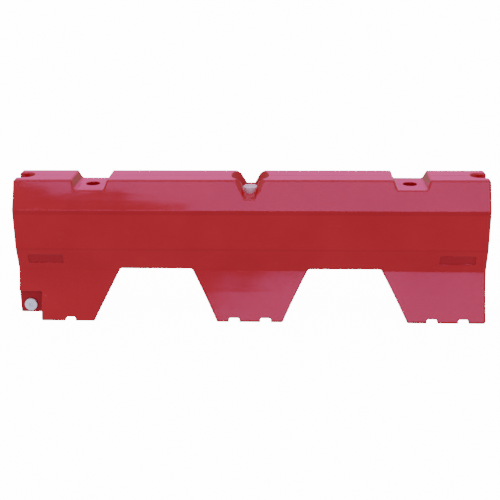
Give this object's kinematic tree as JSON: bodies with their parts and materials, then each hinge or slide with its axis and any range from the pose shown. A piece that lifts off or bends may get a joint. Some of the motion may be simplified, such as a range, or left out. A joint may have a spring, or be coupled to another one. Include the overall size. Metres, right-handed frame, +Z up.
{
  "type": "water filled barrier",
  "caption": "Hollow plastic road barrier on three legs, filled with water for ballast, with lifting arches, post sockets, a screw filler cap and a screw drain plug.",
  "frame": {"origin": "middle of the footprint, on the ground", "axes": "+X along the barrier, -Y out of the front with the drain pocket at its left, +Z up"},
  "size_m": [2, 0.383, 0.6],
  "materials": {
    "tank": "glossy red polyethylene",
    "closure": "satin white polypropylene",
    "insert": "dark grey moulded polyethylene",
    "seal": "black rubber"
  },
  "bodies": {
    "barrier": {"tank_shell": "tank", "filler_neck": "insert", "drain_bush": "insert"},
    "filler_seal": {"filler_gasket": "seal"},
    "filler_lid": {"filler_cap": "closure"},
    "drain_seal": {"drain_oring": "seal"},
    "drain_stopper": {"drain_plug": "closure"}
  },
  "joints": [
    {"name": "filler_lift", "type": "slide", "parent": "barrier", "child": "filler_seal", "axis": [0, 0, 1], "range_m": [0, 0.0801]},
    {"name": "filler_turn", "type": "hinge", "parent": "filler_seal", "child": "filler_lid", "pos_m": [0, 0, 0.522], "axis": [0, 0, 1], "range_deg": [0, 4800]},
    {"name": "drain_slide", "type": "slide", "parent": "barrier", "child": "drain_seal", "axis": [0, -1, 0], "range_m": [0, 0.0801]},
    {"name": "drain_turn", "type": "hinge", "parent": "drain_seal", "child": "drain_stopper", "pos_m": [-0.953, -0.129, 0.054], "axis": [0, -1, 0], "range_deg": [0, 4800]}
  ],
  "couplings": [
    {"joint": "filler_lift", "follows": "filler_turn", "m_per_rad": 0.00095493},
    {"joint": "drain_slide", "follows": "drain_turn", "m_per_rad": 0.00095493}
  ]
}
